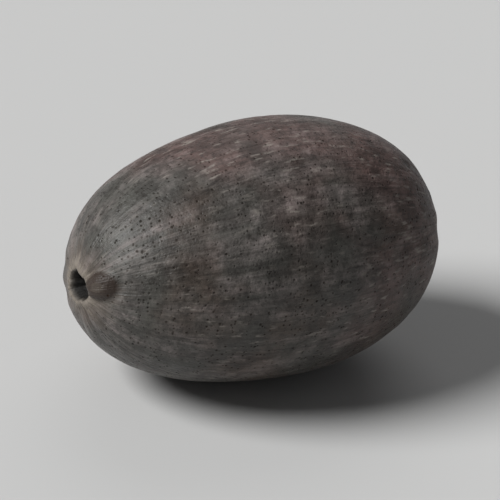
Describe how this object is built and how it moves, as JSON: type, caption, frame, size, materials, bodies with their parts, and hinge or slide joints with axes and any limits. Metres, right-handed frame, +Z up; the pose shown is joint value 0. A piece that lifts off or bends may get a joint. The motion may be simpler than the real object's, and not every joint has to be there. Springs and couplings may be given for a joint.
{
  "type": "lotus seed",
  "caption": "Dried lotus seed lying on its side: a hard, grey-brown, egg-shaped nut with a style scar at its apex and a stalk scar at its base.",
  "frame": {"origin": "under the middle of the seed's box, on the surface that the seed lies on", "axes": "+X along the seed from its apex to its base, +Z up, away from the surface that it lies on"},
  "size_m": [0.0168, 0.0106, 0.0108],
  "materials": {
    "seed_shell": "matt, grey-brown with a faint pale bloom"
  },
  "bodies": {
    "root": {"lotus_seed": "seed_shell"}
  },
  "joints": []
}
